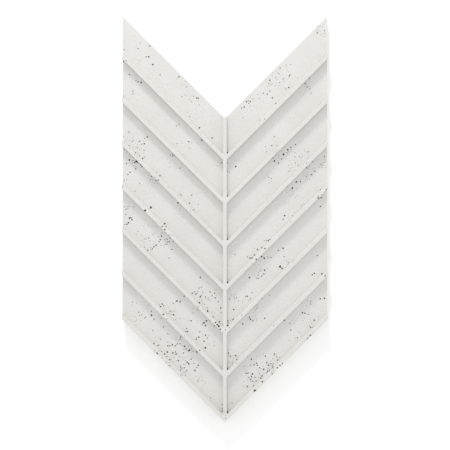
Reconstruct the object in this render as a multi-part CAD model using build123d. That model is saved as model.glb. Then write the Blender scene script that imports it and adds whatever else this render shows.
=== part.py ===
"""Chevron wall panel of cast white concrete, with raised ribs, lying on its back.

One casting: a flat slab in the outline of a broad chevron, and on its face a straight spine down the
middle and a row of V-shaped ribs, one along the lower edge of each band. The lowest rib is flush with
the panel's pointed end, so that the next panel's notch closes up against it and the bands run on.

Millimetres. +Z is out of the face, +Y runs along the spine towards the notch, and the origin is the
middle of the back, half-way along the panel.
"""

import math
import os

from build123d import *

# Driving dimensions
PANEL_WIDTH = 400.0
PANEL_LENGTH = 792.0  # from the point to the two horns beside the notch
ARM_ANGLE = 45.0  # degrees that each arm of the chevron rises from square across
BAND_COUNT = 7
SLAB_THICKNESS = 18.0  # under the bands
RIB_HEIGHT = 12.0  # above the bands
RIB_WIDTH = 7.0  # across the crest of a V-shaped rib
SPINE_WIDTH = 7.0  # across the crest of the spine
FLANK_DRAFT = 2.0  # degrees that each flank leans, so that the casting leaves its mould
CORNER_RADIUS = 1.2  # in the upright corners where ribs run into the spine
FOOT_RADIUS = 0.8  # in the corners where flanks meet bands
CREST_RADIUS = 0.8  # along the crests of the ribs and the spine

# Sizes that follow from them
SLOPE = math.tan(math.radians(ARM_ANGLE))
HALF_WIDTH = PANEL_WIDTH / 2
SIDE_LENGTH = PANEL_LENGTH - HALF_WIDTH * SLOPE
BAND_PITCH = SIDE_LENGTH / BAND_COUNT  # along the spine
POINT_Y = -PANEL_LENGTH / 2
NOTCH_Y = POINT_Y + SIDE_LENGTH
FACE_Z = SLAB_THICKNESS
CREST_Z = SLAB_THICKNESS + RIB_HEIGHT
FLANK_RUN = RIB_HEIGHT * math.tan(math.radians(FLANK_DRAFT))  # sideways lean of one flank
FLAT_ENOUGH = 1e-3  # how far off a plane still counts as on it


def chevron():
    """The panel's outline, as a flat face at the back."""
    rise = HALF_WIDTH * SLOPE
    right = [(HALF_WIDTH, POINT_Y + rise), (HALF_WIDTH, NOTCH_Y + rise)]
    left = [(-x, y) for x, y in reversed(right)]
    return make_face(Polyline((0, POINT_Y), *right, (0, NOTCH_Y), *left, close=True))


def ridge(width):
    """Straight rib along Y with leaning flanks, drawn longer than the panel needs anywhere."""
    crest = width / 2
    foot = crest + FLANK_RUN
    section = Polyline((-foot, FACE_Z), (foot, FACE_Z), (crest, CREST_Z), (-crest, CREST_Z), close=True)
    return extrude(Plane.XZ * make_face(section), PANEL_LENGTH, both=True)


def rib(number):
    """V-shaped rib along the lower edge of a band, counted from the pointed end, mitred on the spine."""
    half_width_along_spine = RIB_WIDTH / 2 / math.cos(math.radians(ARM_ANGLE))
    middle_y = POINT_Y + number * BAND_PITCH + half_width_along_spine
    right = split(Pos(0, middle_y, 0) * Rot(0, 0, ARM_ANGLE - 90) * ridge(RIB_WIDTH), Plane.YZ)
    return right + mirror(right, Plane.YZ)


def on_outline(edge):
    """Whether an edge lies in one of the panel's upright outer faces."""
    middle = edge @ 0.5
    beside = abs(abs(middle.X) - HALF_WIDTH) < FLAT_ENOUGH
    across = middle.Y - abs(middle.X) * SLOPE
    at_end = min(abs(across - POINT_Y), abs(across - NOTCH_Y)) < FLAT_ENOUGH
    return beside or at_end


def rises(edge):
    """Whether an edge climbs, as the corner between two flanks does."""
    return abs((edge @ 0).Z - (edge @ 1).Z) > FLAT_ENOUGH


def at_height(edges, z):
    """Those edges that lie level at height z."""
    return [e for e in edges if max(abs((e @ 0).Z - z), abs((e @ 1).Z - z)) < FLAT_ENOUGH]


def panel():
    """The whole casting, with its crests and inner corners rounded."""
    relief = ridge(SPINE_WIDTH)
    for number in range(BAND_COUNT):
        relief += rib(number)
    body = extrude(chevron(), SLAB_THICKNESS) + (relief & extrude(chevron(), CREST_Z))

    # The upright corners come first, so that the line along the foot of each band's flanks has no kink.
    body = fillet([e for e in body.edges() if rises(e) and not on_outline(e)], CORNER_RADIUS)
    body = fillet([e for e in at_height(body.edges(), FACE_Z) if not on_outline(e)], FOOT_RADIUS)
    return fillet(at_height(body.edges(), CREST_Z), CREST_RADIUS)


os.makedirs("parts", exist_ok=True)
export_step(panel(), "parts/chevron_panel.step")
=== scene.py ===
"""Chevron wall panel of cast white concrete, dressed for a studio picture.

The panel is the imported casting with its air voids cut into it: the voids that stand out one by one,
patches of fine ones, a few on the outer faces, and stray pinholes over every cast face. The stage is a
white floor, a soft key light past the notch end, an even fill, and a camera that looks straight down.
"""

import collections
import math

import bmesh
import bpy
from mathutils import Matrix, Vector


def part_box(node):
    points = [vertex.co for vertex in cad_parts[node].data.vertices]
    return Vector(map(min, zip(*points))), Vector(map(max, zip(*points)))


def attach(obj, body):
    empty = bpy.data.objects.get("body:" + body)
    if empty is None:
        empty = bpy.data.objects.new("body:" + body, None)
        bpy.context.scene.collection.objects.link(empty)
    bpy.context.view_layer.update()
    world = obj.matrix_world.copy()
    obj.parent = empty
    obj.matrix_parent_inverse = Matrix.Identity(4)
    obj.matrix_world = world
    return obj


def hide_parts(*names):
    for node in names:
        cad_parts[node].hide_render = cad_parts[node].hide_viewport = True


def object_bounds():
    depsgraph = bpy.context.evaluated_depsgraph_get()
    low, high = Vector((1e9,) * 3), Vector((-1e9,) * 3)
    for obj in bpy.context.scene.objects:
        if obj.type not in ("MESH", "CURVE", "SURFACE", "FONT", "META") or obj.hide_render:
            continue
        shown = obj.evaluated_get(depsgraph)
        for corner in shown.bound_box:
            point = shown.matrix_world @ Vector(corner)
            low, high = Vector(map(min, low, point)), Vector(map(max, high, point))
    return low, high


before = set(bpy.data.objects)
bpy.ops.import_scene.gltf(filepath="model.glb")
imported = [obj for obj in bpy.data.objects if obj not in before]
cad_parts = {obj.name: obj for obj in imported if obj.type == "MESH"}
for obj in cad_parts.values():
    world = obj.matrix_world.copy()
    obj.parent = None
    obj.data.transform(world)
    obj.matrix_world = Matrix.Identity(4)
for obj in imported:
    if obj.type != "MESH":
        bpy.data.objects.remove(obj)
cad_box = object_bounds()

bl_info = {
    "name": "Chevron concrete panel",
    "version": (1, 0, 0),
    "blender": (4, 5, 0),
    "location": "View3D > Sidebar > Concrete",
    "description": "Cuts air voids into a cast chevron panel, gives it its finish and lights it",
    "category": "Add Mesh",
}

MM = 0.001  # metres
NODE = "chevron_panel"
VOID_DEPTH = "void_depth"  # how far inside the casting a point of a void lies, and 0 on cast faces

# Layout of the casting's relief, in metres
BANDS = 7
HALF_WIDTH = cad_box[1].x
POINT = cad_box[0].y
ARM_SIDE = cad_box[1].y - POINT - HALF_WIDTH  # along a side, because the arms rise at 45 degrees
SQUARE_TO_ARM = math.cos(math.radians(45))  # turns a length along the spine into one square to an arm
PITCH = ARM_SIDE / BANDS  # from rib to rib along the spine
RIB_WIDTH = 7 * MM  # across the crest
RIB_MIDDLE = RIB_WIDTH / 2 / SQUARE_TO_ARM  # along the spine, from a rib's lower edge
RIB_FOOT = 3.9 * MM  # from a rib's middle, square to it
BAND_FACE = 18 * MM  # above the back

# Painted shade on the bands, at the feet of the ribs and right of the spine
RIB_PAINTED_SHADE = 3 * MM  # how far the painted shade reaches from the foot of a rib
SPINE_PAINTED_SHADE = 2 * MM  # how far the painted shadow reaches from the foot of the spine, on its right
PAINTED_SHADE_ABOVE_RIB = 0.4  # as a share of the painted shade below a rib
PAINTED_SHADE_HEIGHT = 1 * MM  # up a flank from the band, and higher up there is no painted shade
UNSHADED_EDGE = 0.3 * MM  # strip without painted shade inside the outer faces

# Patterns in the concrete, and shades as shares of its colour
CLOUD = 60 * MM
SAND = 3.5 * MM  # real grains are 0.5 mm, and are drawn coarser because those are too fine to show
STROKE_LENGTH = 200 * MM
STROKE_WIDTH = 14 * MM
DULL_CLOUD = 0.975
BRIGHT_CLOUD = 1.015
DARK_SHADE = 0.88  # of grains of sand, and of paste that the trowel pressed
DARKEST_DEPTH = 1 * MM  # inside a void, where the painted shade is deepest

# Shape of the voids, as shares of their width
LUMP = 0.15  # how far a void swells or dents
LEAST_STRETCH = 0.65
MOST_STRETCH = 1.3
NARROWEST_SIDE_VOID = 0.5  # as a share of the widest on the outer faces

# Cleaning of meshes
WELD = 0.001 * MM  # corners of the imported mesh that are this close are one
SLIVER = 0.0001 * MM  # edges of the cut mesh that are this short go
SHARP_ANGLE = math.radians(50)
UPRIGHT = 0.01  # the flanks' normals rise by more than this, and the outer faces' by less
BACK = -0.5  # the back's normals fall by more than this

# Stage
SENSOR_WIDTH = 36.0  # millimetres
FLOOR_REACH = 4.0  # metres to each side
FLOOR_GAP = 0.2 * MM  # under the panel's back

# Places of voids in mm: to the right of the spine, and along it from the panel's middle.
WIDE_VOIDS = [
    (-164, 267), (-45, 154), (-187, 115), (-173.5, 112), (-145, 22), (-155, 16), (-187, 1), (97, 113),
    (115, 126), (123, 135), (21, 102), (140, 72), (132, 60), (-118, -10), (-34, -181), (-88, -163),
    (-144, -189), (72, -74), (77, -77), (108, -94), (112, -97), (152, -184), (50, -197), (-15, -206),
    (-12, -209), (-41, -204), (-38, -253), (-55, -261), (-69, -257), (-112, -249), (-108, -249),
    (-132, -262), (76, -295), (54, -304), (59, -334), (57.5, -334.5),
]
MIDDLING_VOIDS = [
    (-197, 331), (-170, 333), (-147, 338), (-154, 317), (-149, 317), (-141, 302), (-90, 278),
    (-55, 236), (-52, 236), (-92, 203), (-198, 308), (-192, 307), (-187, 282), (-174, 271), (-170, 268),
    (-180, 250), (181, 364), (127, 281), (88, 271), (125, 257), (88, 250), (83, 244), (93, 237),
    (50, 229), (38, 219), (165, 275), (157, 265), (161, 258), (169, 246), (-50, 178), (-25, 158),
    (-71, 151), (-102, 123), (-99, 125), (-88, 99), (-6, 110), (-167, 152), (-152, 160), (-158, 147),
    (-175, 129), (-161, 118), (-180, 114), (-177, 110), (-165, 106), (-162, 103), (-175, 98),
    (-190, 87), (-186, 91), (-135, 75), (-129, 75), (-127, 84), (-199, 62), (-61, 17), (-92, 31),
    (-194, 8), (-184, 2), (-182, -2), (87, 198), (92, 143), (99, 125), (94, 119), (105, 109),
    (111, 117), (129, 140), (138, 145), (137, 121), (160, 100), (5, 109), (176, 93), (148, 73),
    (197, 57), (195, 122), (184, 39), (189, 41), (187, 24), (117, 6), (-192, -11), (-189, -8),
    (-149, -38), (-142, -59), (-139, -55), (-135, -52), (-129, -45), (-126, -41), (-122, -15),
    (-115, -15), (-117, -21), (-124, -34), (-109, -32), (-112, -46), (-104, -60), (-195, -33),
    (-48, -115), (-51, -136), (-64, -146), (-58, -148), (-55, -146), (-25, -151), (-48, -153),
    (-19, -155), (-50, -165), (-23, -193), (-94, -161), (-80, -152), (-123, -167), (-126, -172),
    (-120, -186), (-101, -188), (-139, -197), (114, -1), (72, -57), (78, -58), (58, -71), (49, -77),
    (53, -77), (61, -79), (105, -62), (114, -58), (78, -101), (76, -108), (181, -72), (195, -111),
    (187, -157), (195, -156), (168, -162), (157, -185), (175, -199), (73, -156), (78, -195), (48, -193),
    (41, -152), (44, -152), (16, -197), (-66, -200), (-36, -200), (-29, -200), (-18, -202), (-11, -202),
    (-38, -209), (-21, -210), (-9, -215), (-73, -221), (-76, -221), (-38, -228), (-51, -232),
    (-56, -236), (-41, -240), (-49, -256), (-120, -212), (-87, -232), (-139, -245), (-131, -248),
    (-103, -247), (-97, -249), (-88, -245), (-118, -265), (-113, -261), (-102, -263), (-97, -261),
    (-95, -265), (-81, -263), (-66, -275), (-74, -281), (-71, -284), (-52, -287), (-55, -291),
    (-109, -286), (-79, -292), (-59, -297), (-4, -372), (-4, -377), (6, -200), (35, -206), (168, -213),
    (160, -233), (7, -263), (11, -269), (23, -289), (97, -265), (103, -277), (52, -275), (82, -282),
    (85, -287), (57, -286), (62, -283), (64, -287), (94, -291), (102, -290), (107, -285), (112, -282),
    (92, -302), (43, -303), (46, -302), (52, -309), (50, -315), (54, -318), (73, -317), (44, -329),
    (-29, -144), (81, -43), (85, -43), (48, -115), (17, -178), (116, -74), (-79, -250), (-20, -146),
    (-8, -175), (64, -60), (190, -108), (142, -233), (116, -199), (84, -299), (59, -311), (73, -308),
    (79, -269), (-75, -298), (-91, -278), (55, -200), (21, -268), (167, -227), (-71.5, -258.5),
    (-127, 282), (75, 246), (42, 229), (70, -312), (-193, 108), (171, -110), (175, -107),
]
SMALL_VOIDS = [
    (-61, 240), (43, 230), (22, 103), (-44, -208), (-28, -351), (14, -361), (-65, 229), (-84, 239),
    (-69, 200), (-180, 245), (-198, 240), (195, 368), (196, 363), (129, 302), (106, 284), (126, 278),
    (100, 276), (114, 274), (107, 267), (86, 265), (143, 276), (67, 235), (100, 226), (46, 231),
    (47, 226), (30, 227), (33, 217), (-90, 184), (-95, 182), (-94, 147), (-103, 127), (-107, 125),
    (-15, 103), (-4, 99), (-188, 170), (-198, 161), (-182, 151), (-157, 157), (-163, 146), (-188, 143),
    (-171, 139), (-167, 136), (-158, 134), (-157, 121), (-182, 108), (-192, 77), (-197, 75), (-167, 69),
    (-144, 83), (-145, 77), (-176, 54), (-87, 48), (-85, 46), (-65, 46), (-69, 30), (-190, 24),
    (-192, 19), (35, 198), (68, 193), (77, 194), (97, 161), (82, 131), (129, 136), (146, 122),
    (163, 132), (143, 105), (159, 108), (9, 91), (5, 93), (91, 79), (170, 86), (122, 63), (187, 57),
    (196, 115), (187, 107), (186, 101), (172, 112), (181, 41), (132, 6), (-196, -11), (-170, -25),
    (-141, -31), (-158, -39), (-154, -40), (-151, -62), (-117, -27), (-114, -29), (-122, -29),
    (-107, -37), (-113, -41), (-109, -45), (-115, -50), (-101, -44), (-109, -77), (-46, -134),
    (-60, -143), (-43, -144), (-46, -150), (-38, -153), (-33, -157), (-13, -163), (-51, -171),
    (-8, -184), (-101, -166), (-120, -170), (-107, -181), (-100, -182), (-110, -185), (-114, -185),
    (-125, -195), (-113, -195), (-62, -185), (-181, -163), (-169, -183), (-177, -192), (-144, -181),
    (-157, -194), (-155, -192), (44, -75), (84, -77), (90, -76), (125, -86), (69, -102), (72, -113),
    (66, -117), (20, -70), (163, -187), (63, -169), (63, -175), (53, -145), (50, -157), (19, -156),
    (23, -155), (9, -157), (33, -187), (-75, -215), (-50, -222), (-34, -233), (-66, -247), (-65, -255),
    (-141, -219), (-112, -225), (-126, -236), (-112, -242), (-93, -245), (-124, -260), (-136, -257),
    (-115, -270), (-122, -271), (-108, -276), (-114, -279), (-95, -278), (-61, -283), (-86, -292),
    (-84, -293), (-87, -296), (-85, -304), (-53, -316), (-5, -364), (1, -388), (9, -212), (1, -216),
    (94, -208), (127, -205), (129, -218), (166, -210), (8, -257), (23, -276), (102, -271), (45, -270),
    (90, -284), (95, -284), (50, -287), (93, -287), (68, -292), (71, -293), (40, -303), (68, -304),
    (61, -318), (56, -327), (88, -41), (77, -42), (87, -150), (168, -167), (65, -111), (-76, -255),
    (-62, -260), (138, -233), (164, -228), (87, -297), (81, -302), (-75, 258), (108, 295), (-171, 110),
]
# One void in the sharp corner right of the spine, above each rib, which darkens that corner.
CORNER_ACROSS = 5.0
CORNER_ABOVE = 17.4  # along the spine, from the rib's lower edge
CORNER_VOIDS = [(CORNER_ACROSS, (POINT + number * PITCH) / MM + CORNER_ABOVE) for number in range(BANDS)]
# Patches of fine voids: middle across and along in mm, reach to each side, and how many.
VOID_PATCHES = [
    (-165, 320, 34, 10), (-85, 255, 28, 13), (-55, 225, 20, 10), (105, 275, 26, 40), (45, 225, 20, 18),
    (188, 367, 11, 16), (163, 252, 10, 9), (-176, 145, 22, 30), (-182, 108, 15, 14), (-142, 80, 14, 14),
    (-60, 165, 30, 12), (-95, 115, 18, 10), (-75, 40, 24, 14), (-188, 18, 12, 16), (142, 112, 24, 40),
    (95, 135, 16, 14), (164, 85, 14, 14), (190, 108, 8, 14), (86, 78, 10, 9), (130, 50, 12, 9),
    (188, 48, 11, 12), (135, 10, 22, 10), (-152, -38, 24, 26), (-114, -40, 14, 18), (-38, -160, 26, 40),
    (-108, -180, 22, 22), (-165, -182, 20, 14), (72, -108, 12, 20), (75, -72, 28, 18),
    (120, -85, 14, 10), (25, -160, 22, 16), (165, -178, 20, 10), (65, -186, 16, 14),
    (-45, -225, 28, 24), (-110, -256, 32, 50), (-80, -288, 20, 24), (-48, -310, 12, 10),
    (16, -276, 10, 16), (92, -282, 18, 34), (56, -308, 22, 40), (150, -220, 26, 16), (0, -376, 9, 6),
]

# A listed void or patch: its place and reach in mm, the width of its voids in metres, and their number.
Spot = collections.namedtuple("Spot", "across along width reach count")


def linear(hex_colour):
    """An sRGB colour such as "#E8E7E2" as linear red, green and blue."""
    channels = [int(hex_colour[i:i + 2], 16) / 255 for i in (1, 3, 5)]
    return [c / 12.92 if c <= 0.04045 else ((c + 0.055) / 1.055) ** 2.4 for c in channels]


def add(tree, kind, sources=None, **settings):
    """Adds a node with its settings. Sources fill inputs, by name or place: values, sockets or nodes."""
    node = tree.nodes.new(kind)
    for name, value in settings.items():
        setattr(node, name, value)
    for key, source in (sources or {}).items():
        if isinstance(key, int):
            socket = node.inputs[key]
        else:
            socket = next(s for s in node.inputs if s.enabled and s.name == key)
        if isinstance(source, bpy.types.Node):
            source = next(s for s in source.outputs if s.enabled)
        if isinstance(source, bpy.types.NodeSocket):
            tree.links.new(source, socket)
        else:
            socket.default_value = source
    return node


class PanelSettings(bpy.types.PropertyGroup):
    """What a user would change on the panel."""

    concrete_colour: bpy.props.FloatVectorProperty(
        name="Concrete", description="Colour of the cast face", subtype="COLOR", size=3, min=0, max=1,
        default=linear("#E2E1DD"))
    # Deep inside the voids: a dusty grey deepened by painted shade.
    void_dust_and_shade_colour: bpy.props.FloatVectorProperty(
        name="Void walls", description="Colour deep inside the air voids", subtype="COLOR", size=3,
        min=0, max=1, default=linear("#6C6B64"))
    # Painted shade: the colour that darkens the bands at the feet of the ribs and right of the spine
    painted_shade_colour: bpy.props.FloatVectorProperty(
        name="Dust", description="Colour of the dust along the feet of the ribs", subtype="COLOR", size=3,
        min=0, max=1, default=linear("#D3D2CD"))
    wide_void: bpy.props.FloatProperty(
        name="Wide voids", description="Width of the voids that stand out most", subtype="DISTANCE",
        unit="LENGTH", default=4.15 * MM)
    middling_void: bpy.props.FloatProperty(
        name="Middling voids", description="Width of the next largest voids", subtype="DISTANCE",
        unit="LENGTH", default=3.2 * MM)
    small_void: bpy.props.FloatProperty(
        name="Small voids", description="Width of the smallest voids that stand alone", subtype="DISTANCE",
        unit="LENGTH", default=2.4 * MM)
    fine_void: bpy.props.FloatProperty(
        name="Fine voids", description="Width of the voids in patches", subtype="DISTANCE",
        unit="LENGTH", default=1.6 * MM)
    taper: bpy.props.FloatProperty(
        name="Taper", description="How much narrower voids are at the notch than at the point",
        subtype="FACTOR", default=0.05, min=0, max=0.9)
    pinhole: bpy.props.FloatProperty(
        name="Pinholes", description="Width of the stray pinholes", subtype="DISTANCE",
        unit="LENGTH", default=0.8 * MM)
    pinholes_per_area: bpy.props.FloatProperty(
        name="Pinholes per square metre", description="How many stray pinholes the cast faces have",
        default=200.0, min=0)
    side_voids_per_area: bpy.props.FloatProperty(
        name="Side voids per square metre", description="How many small voids the outer faces have",
        default=1500.0, min=0)
    sink: bpy.props.FloatProperty(
        name="Sink", description="How deep the middle of a void lies, as a share of its width",
        subtype="FACTOR", default=0.06, min=0, max=0.45)
    seed: bpy.props.IntProperty(
        name="Seed", description="Changes the scatter and the shapes of the voids", default=7)


class StudioSettings(bpy.types.PropertyGroup):
    """What a user would change on the stage."""

    camera_place: bpy.props.FloatVectorProperty(
        name="Camera", description="Where the camera hangs, looking straight down", subtype="TRANSLATION",
        unit="LENGTH", default=(0.0002, -0.0123, 1.685))
    lens: bpy.props.FloatProperty(
        name="Lens", description="Focal length in millimetres", subtype="DISTANCE_CAMERA", unit="CAMERA",
        default=68.1)
    key_place: bpy.props.FloatVectorProperty(
        name="Key light", description="Where the key light stands, past the notch end",
        subtype="TRANSLATION", unit="LENGTH", default=(-0.38, 2.68, 1.30))
    key_width: bpy.props.FloatProperty(
        name="Key width", description="Width of the key light's upright strip", subtype="DISTANCE",
        unit="LENGTH", default=0.16)
    key_height: bpy.props.FloatProperty(
        name="Key height", description="Height of the key light's upright strip", subtype="DISTANCE",
        unit="LENGTH", default=0.50)
    key_power: bpy.props.FloatProperty(
        name="Key power", description="Strength of the key light", unit="POWER", default=29.0)
    fill: bpy.props.FloatProperty(
        name="Fill", description="Strength of the even light from all round", default=0.905, min=0)
    floor_colour: bpy.props.FloatVectorProperty(
        name="Floor", description="Colour that the floor throws back at the panel", subtype="COLOR", size=3,
        min=0, max=1, default=linear("#D9D9D7"))
    floor_lift: bpy.props.FloatProperty(
        name="Floor lift", description="Light added to the floor where the camera sees it",
        default=0.08, min=0)


def painted_shade_on_relief(tree, place):
    """Painted shade on the bands: heavy in the shadow below each rib, light at the foot above it, and a
    narrow painted shadow right of the spine.
    """
    x, y, z = add(tree, "ShaderNodeSeparateXYZ", {"Vector": place}).outputs
    from_spine = add(tree, "ShaderNodeMath", {0: x}, operation="ABSOLUTE")
    up_the_arm = add(tree, "ShaderNodeMath", {0: y, 1: from_spine}, operation="SUBTRACT")
    from_rib = add(tree, "ShaderNodeMath", {0: up_the_arm, 1: POINT + RIB_MIDDLE}, operation="SUBTRACT")
    above = add(tree, "ShaderNodeMath", {0: from_rib, 1: PITCH / 2, 2: -PITCH / 2}, operation="WRAP")
    either_way = add(tree, "ShaderNodeMath", {0: above}, operation="ABSOLUTE")
    aside = add(tree, "ShaderNodeMath", {0: either_way, 1: SQUARE_TO_ARM}, operation="MULTIPLY")
    # Painted shade at the foot of each rib, heavier in its shadow below.
    by_rib = add(tree, "ShaderNodeMapRange", {
        "Value": aside, "From Min": RIB_FOOT + RIB_PAINTED_SHADE, "From Max": RIB_FOOT},
        interpolation_type="SMOOTHSTEP")
    shade_weight = add(tree, "ShaderNodeMapRange", {
        "Value": above, "From Min": -RIB_FOOT, "From Max": RIB_FOOT,
        "To Min": 1.0, "To Max": PAINTED_SHADE_ABOVE_RIB})
    off_notch = add(tree, "ShaderNodeMath", {0: up_the_arm, 1: POINT + ARM_SIDE - PITCH / 2},
                    operation="LESS_THAN")
    for mask in (shade_weight, off_notch):
        by_rib = add(tree, "ShaderNodeMath", {0: by_rib, 1: mask}, operation="MULTIPLY")
    # Painted shadow of the spine, on its right side alone.
    by_spine = add(tree, "ShaderNodeMapRange", {
        "Value": x, "From Min": RIB_FOOT + SPINE_PAINTED_SHADE, "From Max": RIB_FOOT},
        interpolation_type="SMOOTHSTEP")
    on_right = add(tree, "ShaderNodeMath", {0: x, 1: 0.0}, operation="GREATER_THAN")
    by_spine = add(tree, "ShaderNodeMath", {0: by_spine, 1: on_right}, operation="MULTIPLY")
    painted_shade = add(tree, "ShaderNodeMath", {0: by_rib, 1: by_spine}, operation="MAXIMUM")

    # The flanks, the crests, the back and the outer faces get no painted shade.
    off_flanks = add(tree, "ShaderNodeMapRange", {
        "Value": z, "From Min": BAND_FACE + PAINTED_SHADE_HEIGHT, "From Max": BAND_FACE})
    off_back = add(tree, "ShaderNodeMath", {0: z, 1: BAND_FACE / 2}, operation="GREATER_THAN")
    off_sides = add(tree, "ShaderNodeMath", {0: from_spine, 1: HALF_WIDTH - UNSHADED_EDGE},
                    operation="LESS_THAN")
    off_point = add(tree, "ShaderNodeMath", {0: up_the_arm, 1: POINT + UNSHADED_EDGE},
                    operation="GREATER_THAN")
    for mask in (off_flanks, off_back, off_sides, off_point):
        painted_shade = add(tree, "ShaderNodeMath", {0: painted_shade, 1: mask}, operation="MULTIPLY")
    return painted_shade


def white_concrete(settings):
    """White concrete cast in a smooth mould: pale cement skin over fine sand.

    The eye sees a matt, slightly warm white, faint clouds where the mix dried unevenly, a fine sandy grain,
    and dusty grey inside the air voids, deepened by painted shade towards their bottoms. Painted shade also
    darkens the bands at the feet of the ribs, with a painted shadow right of the spine. The back was struck
    off by hand and shows broad trowel strokes.
    """
    material = bpy.data.materials.new("white_cast_concrete")
    material.use_nodes = True
    tree = material.node_tree
    tree.nodes.clear()
    place = add(tree, "ShaderNodeTexCoord").outputs["Object"]
    tone = Vector(settings.concrete_colour)
    dull, bright, dark = [(*(tone * shade), 1) for shade in (DULL_CLOUD, BRIGHT_CLOUD, DARK_SHADE)]

    clouds = add(tree, "ShaderNodeTexNoise", {
        "Vector": place, "Scale": 1 / CLOUD, "Detail": 4.0, "Roughness": 0.55})
    grain = add(tree, "ShaderNodeTexNoise", {
        "Vector": place, "Scale": 1 / SAND, "Detail": 3.0, "Roughness": 0.75})
    cloudy = add(tree, "ShaderNodeMix", {
        "Factor": add(tree, "ShaderNodeMapRange", {"Value": clouds, "From Min": 0.35, "From Max": 0.65}),
        "A": dull, "B": bright}, data_type="RGBA")
    grains = add(tree, "ShaderNodeMapRange", {
        "Value": grain, "From Min": 0.5, "From Max": 0.68, "To Max": 0.8})
    sandy = add(tree, "ShaderNodeMix", {"Factor": grains, "A": cloudy, "B": dark}, data_type="RGBA")
    # Painted shade at the feet of the ribs, and a painted shadow right of the spine.
    with_painted_shade = add(tree, "ShaderNodeMix", {
        "Factor": painted_shade_on_relief(tree, place), "A": sandy, "B": (*settings.painted_shade_colour, 1)},
        data_type="RGBA")

    # The back alone gets trowel strokes, darker where the blade pressed the paste.
    height = add(tree, "ShaderNodeSeparateXYZ", {"Vector": place}).outputs["Z"]
    on_back = add(tree, "ShaderNodeMapRange", {"Value": height, "From Min": 1 * MM, "From Max": 0.5 * MM})
    along_strokes = add(tree, "ShaderNodeMapping", {
        "Vector": place, "Scale": (1 / STROKE_LENGTH, 1 / STROKE_WIDTH, 1)})
    strokes = add(tree, "ShaderNodeTexNoise", {"Vector": along_strokes, "Scale": 1.0, "Detail": 3.0})
    pressed = add(tree, "ShaderNodeMapRange", {"Value": strokes, "From Min": 0.45, "From Max": 0.7})
    streaks = add(tree, "ShaderNodeMath", {0: pressed, 1: on_back}, operation="MULTIPLY")
    streaky = add(tree, "ShaderNodeMix", {"Factor": streaks, "A": with_painted_shade, "B": dark}, data_type="RGBA")

    # The walls of a void get darker with depth: a dusty grey, deepened by painted shade where less light
    # reaches.
    depth = add(tree, "ShaderNodeAttribute", attribute_name=VOID_DEPTH).outputs["Fac"]
    inside = add(tree, "ShaderNodeMapRange", {"Value": depth, "From Min": 0.0, "From Max": DARKEST_DEPTH})
    colour = add(tree, "ShaderNodeMix", {
        "Factor": inside, "A": streaky, "B": (*settings.void_dust_and_shade_colour, 1)}, data_type="RGBA")

    furrows = add(tree, "ShaderNodeMath", {0: strokes, 1: on_back}, operation="MULTIPLY")
    trowelled = add(tree, "ShaderNodeBump", {"Height": furrows, "Strength": 0.8, "Distance": 2 * MM})
    sanded = add(tree, "ShaderNodeBump", {
        "Height": grain, "Strength": 0.35, "Distance": 0.15 * MM, "Normal": trowelled})
    matt = add(tree, "ShaderNodeMapRange", {"Value": clouds, "To Min": 0.95, "To Max": 0.75})
    shader = add(tree, "ShaderNodeBsdfPrincipled", {
        "Base Color": colour, "Roughness": matt, "Normal": sanded, "IOR": 1.5, "Specular IOR Level": 0.25})
    add(tree, "ShaderNodeOutputMaterial", {"Surface": shader})
    return material


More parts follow.
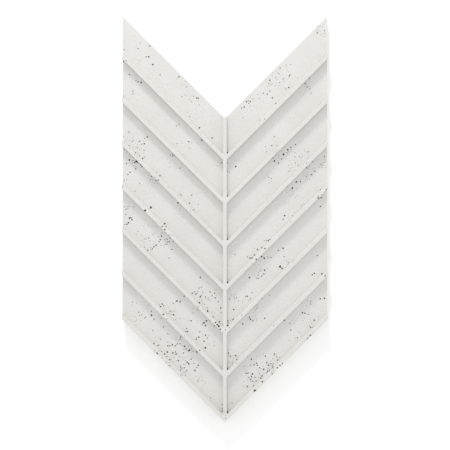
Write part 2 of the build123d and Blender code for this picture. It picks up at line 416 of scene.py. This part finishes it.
def air_void_tree():
    """Geometry Nodes that scatter voids round marked spots and over cast faces, and cut them out."""
    tree = bpy.data.node_groups.new("Air voids in a casting", "GeometryNodeTree")
    sockets = {"Casting": "Geometry", "Spots": "Object", "Sink": "Float", "Pinhole Width": "Float",
               "Pinholes Per Area": "Float", "Side Void Width": "Float", "Side Voids Per Area": "Float",
               "Seed": "Int", "Concrete": "Material"}
    for name, kind in sockets.items():
        tree.interface.new_socket(name, in_out="INPUT", socket_type=f"NodeSocket{kind}")
    tree.interface.new_socket("Casting", in_out="OUTPUT", socket_type="NodeSocketGeometry")
    given = add(tree, "NodeGroupInput").outputs
    casting = given["Casting"]
    seed = given["Seed"]

    # Each spot becomes as many voids as it says, spread round it, and they drop on the face from above.
    spots = add(tree, "GeometryNodeObjectInfo", {"Object": given["Spots"]}).outputs["Geometry"]
    count = add(tree, "GeometryNodeInputNamedAttribute", {"Name": "count"}, data_type="INT")
    reach = add(tree, "GeometryNodeInputNamedAttribute", {"Name": "reach"}, data_type="FLOAT")
    width = add(tree, "GeometryNodeInputNamedAttribute", {"Name": "width"}, data_type="FLOAT")
    many = add(tree, "GeometryNodeDuplicateElements", {"Geometry": spots, "Amount": count}, domain="POINT")
    aside = add(tree, "FunctionNodeRandomValue", {"Min": (-1, -1, 0), "Max": (1, 1, 0), "Seed": seed},
                data_type="FLOAT_VECTOR")
    scattered = add(tree, "GeometryNodeSetPosition", {
        "Geometry": many.outputs["Geometry"],
        "Offset": add(tree, "ShaderNodeVectorMath", {0: aside, "Scale": reach}, operation="SCALE")})
    drop = add(tree, "GeometryNodeRaycast", {
        "Target Geometry": casting, "Ray Direction": (0, 0, -1), "Ray Length": 1.0}).outputs
    missed = add(tree, "FunctionNodeBooleanMath", {0: drop["Is Hit"]}, operation="NOT")
    over_panel = add(tree, "GeometryNodeDeleteGeometry", {"Geometry": scattered, "Selection": missed},
                     domain="POINT")
    depth = add(tree, "ShaderNodeMath", {0: width, 1: given["Sink"]}, operation="MULTIPLY")
    inward = add(tree, "ShaderNodeVectorMath", {0: drop["Hit Normal"], "Scale": depth}, operation="SCALE")
    sunk = add(tree, "ShaderNodeVectorMath", {0: drop["Hit Position"], 1: inward}, operation="SUBTRACT")
    landed = add(tree, "GeometryNodeSetPosition", {"Geometry": over_panel, "Position": sunk})

    # Pinholes lie anywhere but on the back.
    up = add(tree, "ShaderNodeSeparateXYZ", {"Vector": add(tree, "GeometryNodeInputNormal")}).outputs["Z"]
    cast = add(tree, "FunctionNodeCompare", {"A": up, "B": BACK}, data_type="FLOAT",
               operation="GREATER_THAN")
    strewn = add(tree, "GeometryNodeDistributePointsOnFaces", {
        "Mesh": casting, "Selection": cast, "Density": given["Pinholes Per Area"], "Seed": seed})
    pinholes = add(tree, "GeometryNodeStoreNamedAttribute", {
        "Geometry": strewn.outputs["Points"], "Name": "width", "Value": given["Pinhole Width"]},
        data_type="FLOAT", domain="POINT")

    # The outer faces stand upright, where the flanks of the ribs lean.
    lean = add(tree, "ShaderNodeMath", {0: up}, operation="ABSOLUTE")
    outer = add(tree, "FunctionNodeCompare", {"A": lean, "B": UPRIGHT}, data_type="FLOAT",
                operation="LESS_THAN")
    along_sides = add(tree, "GeometryNodeDistributePointsOnFaces", {
        "Mesh": casting, "Selection": outer, "Density": given["Side Voids Per Area"], "Seed": seed})
    share = add(tree, "FunctionNodeRandomValue", {"Min": NARROWEST_SIDE_VOID, "Max": 1.0, "Seed": seed},
                data_type="FLOAT")
    side_width = add(tree, "ShaderNodeMath", {0: share, 1: given["Side Void Width"]}, operation="MULTIPLY")
    side_voids = add(tree, "GeometryNodeStoreNamedAttribute", {
        "Geometry": along_sides.outputs["Points"], "Name": "width", "Value": side_width},
        data_type="FLOAT", domain="POINT")

    # A void is a lumpy ball one unit wide, turned and stretched at random.
    ball = add(tree, "GeometryNodeMeshIcoSphere", {"Radius": 0.5, "Subdivisions": 2}).outputs["Mesh"]
    lumps = add(tree, "ShaderNodeTexNoise", {"Scale": 2.2, "Detail": 0.0}).outputs["Fac"]
    swell = add(tree, "ShaderNodeMapRange", {"Value": lumps, "To Min": -LUMP, "To Max": LUMP})
    outward = add(tree, "ShaderNodeVectorMath", {0: add(tree, "GeometryNodeInputNormal"), "Scale": swell},
                  operation="SCALE")
    lumpy = add(tree, "GeometryNodeSetPosition", {"Geometry": ball, "Offset": outward})
    turn = add(tree, "FunctionNodeRandomValue", {"Max": (math.tau,) * 3, "Seed": seed},
               data_type="FLOAT_VECTOR")
    stretch = add(tree, "FunctionNodeRandomValue", {
        "Min": (LEAST_STRETCH,) * 3, "Max": (MOST_STRETCH,) * 3, "Seed": seed}, data_type="FLOAT_VECTOR")
    everywhere = add(tree, "GeometryNodeJoinGeometry", {"Geometry": landed})
    for more in (pinholes, side_voids):
        tree.links.new(more.outputs["Geometry"], everywhere.inputs["Geometry"])
    voids = add(tree, "GeometryNodeInstanceOnPoints", {
        "Points": everywhere, "Instance": lumpy, "Rotation": turn,
        "Scale": add(tree, "ShaderNodeVectorMath", {0: stretch, "Scale": width}, operation="SCALE")})
    cut = add(tree, "GeometryNodeMeshBoolean", {"Mesh 1": casting, "Mesh 2": voids},
              operation="DIFFERENCE", solver="MANIFOLD").outputs["Mesh"]
    inside = add(tree, "GeometryNodeProximity", {"Geometry": casting}, target_element="FACES")
    measured = add(tree, "GeometryNodeStoreNamedAttribute", {
        "Geometry": cut, "Name": VOID_DEPTH, "Value": inside.outputs["Distance"]},
        data_type="FLOAT", domain="POINT")
    plain = add(tree, "GeometryNodeRealizeInstances", {"Geometry": measured})
    finished = add(tree, "GeometryNodeSetMaterial", {"Geometry": plain, "Material": given["Concrete"]})
    add(tree, "NodeGroupOutput", {"Casting": finished})
    return tree


def void_spots(settings):
    """A mesh of loose points above the panel, one for each listed void or patch of voids."""
    spots = [Spot(x, y, settings.wide_void, 0, 1) for x, y in WIDE_VOIDS]
    spots += [Spot(x, y, settings.middling_void, 0, 1) for x, y in MIDDLING_VOIDS + CORNER_VOIDS]
    spots += [Spot(x, y, settings.small_void, 0, 1) for x, y in SMALL_VOIDS]
    spots += [Spot(x, y, settings.fine_void, reach, count) for x, y, reach, count in VOID_PATCHES]

    def narrowed(spot):
        up_the_arm = (spot.along - abs(spot.across)) * MM - POINT
        return spot.width * (1 - settings.taper * up_the_arm / ARM_SIDE)

    mesh = bpy.data.meshes.new("void_spots")
    above = 2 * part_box(NODE)[1].z
    mesh.from_pydata([(spot.across * MM, spot.along * MM, above) for spot in spots], [], [])
    columns = {"width": ("FLOAT", [narrowed(spot) for spot in spots]),
               "reach": ("FLOAT", [spot.reach * MM for spot in spots]),
               "count": ("INT", [spot.count for spot in spots])}
    for name, (kind, values) in columns.items():
        mesh.attributes.new(name, kind, "POINT").data.foreach_set("value", values)
    return bpy.data.objects.new("void_spots", mesh)


def casting_copy():
    """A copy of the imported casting's mesh, with loose triangles joined and stored normals dropped."""
    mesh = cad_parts[NODE].data.copy()
    mesh.materials.clear()
    if "custom_normal" in mesh.attributes:
        mesh.attributes.remove(mesh.attributes["custom_normal"])
    build = bmesh.new()
    build.from_mesh(mesh)
    bmesh.ops.remove_doubles(build, verts=build.verts, dist=WELD)
    build.to_mesh(mesh)
    build.free()
    return mesh


def drop_slivers(mesh):
    """Makes the cut mesh triangles, without slivers and without faces that lie back to back."""
    build = bmesh.new()
    build.from_mesh(mesh)
    bmesh.ops.triangulate(build, faces=build.faces)
    bmesh.ops.dissolve_degenerate(build, dist=SLIVER, edges=build.edges)
    bmesh.ops.triangulate(build, faces=build.faces)
    corners = collections.Counter(frozenset(face.verts) for face in build.faces)
    folded = [face for face in build.faces if corners[frozenset(face.verts)] > 1]
    bmesh.ops.delete(build, geom=folded, context="FACES")
    build.to_mesh(mesh)
    build.free()


def plain_mesh(thing):
    """The thing's mesh as its modifiers leave it."""
    scene_state = bpy.context.evaluated_depsgraph_get()
    return bpy.data.meshes.new_from_object(thing.evaluated_get(scene_state), depsgraph=scene_state)


class CONCRETE_OT_panel(bpy.types.Operator):
    """Makes the panel: the casting with its air voids and its concrete finish"""

    bl_idname = "concrete.panel"
    bl_label = "Cast the panel"

    def execute(self, context):
        settings = context.scene.concrete_panel
        concrete = white_concrete(settings)
        spots = void_spots(settings)
        context.collection.objects.link(spots)
        panel = bpy.data.objects.new("cast_panel", casting_copy())
        context.collection.objects.link(panel)

        tree = air_void_tree()
        voids = panel.modifiers.new("Air voids", "NODES")
        voids.node_group = tree
        values = {"Spots": spots, "Sink": settings.sink, "Pinhole Width": settings.pinhole,
                  "Pinholes Per Area": settings.pinholes_per_area, "Side Void Width": settings.small_void,
                  "Side Voids Per Area": settings.side_voids_per_area, "Seed": settings.seed,
                  "Concrete": concrete}
        for socket in tree.interface.items_tree:
            if socket.in_out == "INPUT" and socket.name in values:
                voids[socket.identifier] = values[socket.name]
        panel.data = plain_mesh(panel)
        panel.modifiers.clear()
        bpy.data.objects.remove(spots)

        drop_slivers(panel.data)
        panel.data.shade_smooth()
        panel.data.set_sharp_from_angle(angle=SHARP_ANGLE)
        evened = panel.modifiers.new("Even bands", "WEIGHTED_NORMAL")
        evened.keep_sharp = True
        panel.data = plain_mesh(panel)
        panel.modifiers.clear()

        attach(panel, "root")
        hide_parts(NODE)
        return {"FINISHED"}


class CONCRETE_OT_studio(bpy.types.Operator):
    """Makes the stage: white floor, key light, even fill and camera"""

    bl_idname = "concrete.studio"
    bl_label = "Set the stage"

    def execute(self, context):
        settings = context.scene.concrete_studio
        self.lay_floor(context, settings)
        self.hang_lights(context, settings)
        camera = bpy.data.objects.new("camera", bpy.data.cameras.new("camera"))
        camera.data.lens = settings.lens
        camera.data.sensor_width = SENSOR_WIDTH
        camera.location = settings.camera_place
        context.collection.objects.link(camera)
        context.scene.camera = camera
        context.scene.view_settings.view_transform = "Standard"
        return {"FINISHED"}

    @staticmethod
    def seen_directly(tree):
        """1 on rays that come from the camera, straight or by a mirror or glass, and 0 on the rest."""
        rays = add(tree, "ShaderNodeLightPath").outputs
        mirrored = add(tree, "ShaderNodeMath", {0: rays["Is Glossy Ray"], 1: rays["Is Transmission Ray"]},
                       operation="MAXIMUM")
        return add(tree, "ShaderNodeMath", {0: rays["Is Camera Ray"], 1: mirrored}, operation="MAXIMUM")

    def lay_floor(self, context, settings):
        """White studio floor, just under the panel's back, which shows white and keeps the shadow."""
        mesh = bpy.data.meshes.new("floor")
        signs = [(-1, -1), (1, -1), (1, 1), (-1, 1)]
        corners = [(x * FLOOR_REACH, y * FLOOR_REACH, -FLOOR_GAP) for x, y in signs]
        mesh.from_pydata(corners, [], [(0, 1, 2, 3)])
        floor = bpy.data.objects.new("floor", mesh)
        context.collection.objects.link(floor)
        material = bpy.data.materials.new("white_studio_paper")
        material.use_nodes = True
        tree = material.node_tree
        tree.nodes.clear()
        seen = self.seen_directly(tree)
        paper = add(tree, "ShaderNodeMix", {
            "Factor": seen, "A": (*settings.floor_colour, 1), "B": (1, 1, 1, 1)}, data_type="RGBA")
        lift = add(tree, "ShaderNodeMath", {0: seen, 1: settings.floor_lift}, operation="MULTIPLY")
        shader = add(tree, "ShaderNodeBsdfPrincipled", {
            "Base Color": paper, "Roughness": 1.0, "Specular IOR Level": 0.0,
            "Emission Color": (1, 1, 1, 1), "Emission Strength": lift})
        add(tree, "ShaderNodeOutputMaterial", {"Surface": shader})
        mesh.materials.append(material)

    def hang_lights(self, context, settings):
        """Upright strip of soft key light past the notch end, and even white light from all round."""
        key = bpy.data.objects.new("key_light", bpy.data.lights.new("key_light", "AREA"))
        key.data.shape = "RECTANGLE"
        key.data.size = settings.key_width
        key.data.size_y = settings.key_height
        key.data.energy = settings.key_power
        key.location = settings.key_place
        key.rotation_euler = (-Vector(settings.key_place)).to_track_quat("-Z", "Y").to_euler()
        context.collection.objects.link(key)

        world = bpy.data.worlds.new("even_white")
        world.use_nodes = True
        context.scene.world = world
        tree = world.node_tree
        tree.nodes.clear()
        strength = add(tree, "ShaderNodeMapRange", {
            "Value": self.seen_directly(tree), "To Min": settings.fill, "To Max": 1.0})
        sky = add(tree, "ShaderNodeBackground", {"Color": (1, 1, 1, 1), "Strength": strength})
        add(tree, "ShaderNodeOutputWorld", {"Surface": sky})


class CONCRETE_PT_sidebar(bpy.types.Panel):
    """Lists the pieces of the scene and their settings"""

    bl_idname = "CONCRETE_PT_sidebar"
    bl_label = "Chevron concrete panel"
    bl_space_type = "VIEW_3D"
    bl_region_type = "UI"
    bl_category = "Concrete"

    def draw(self, context):
        scene = context.scene
        groups = {CONCRETE_OT_panel: scene.concrete_panel, CONCRETE_OT_studio: scene.concrete_studio}
        for operator, settings in groups.items():
            box = self.layout.box()
            for name in settings.__annotations__:
                box.prop(settings, name)
            box.operator(operator.bl_idname)


CLASSES = (PanelSettings, StudioSettings, CONCRETE_OT_panel, CONCRETE_OT_studio, CONCRETE_PT_sidebar)


def register():
    """Makes the classes and the scene's settings known to Blender."""
    for cls in CLASSES:
        bpy.utils.register_class(cls)
    bpy.types.Scene.concrete_panel = bpy.props.PointerProperty(type=PanelSettings)
    bpy.types.Scene.concrete_studio = bpy.props.PointerProperty(type=StudioSettings)


def unregister():
    """Takes back what register did."""
    del bpy.types.Scene.concrete_studio
    del bpy.types.Scene.concrete_panel
    for cls in reversed(CLASSES):
        bpy.utils.unregister_class(cls)


def main():
    """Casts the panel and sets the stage."""
    register()
    bpy.ops.concrete.panel()
    bpy.ops.concrete.studio()


if __name__ == "__main__":
    main()
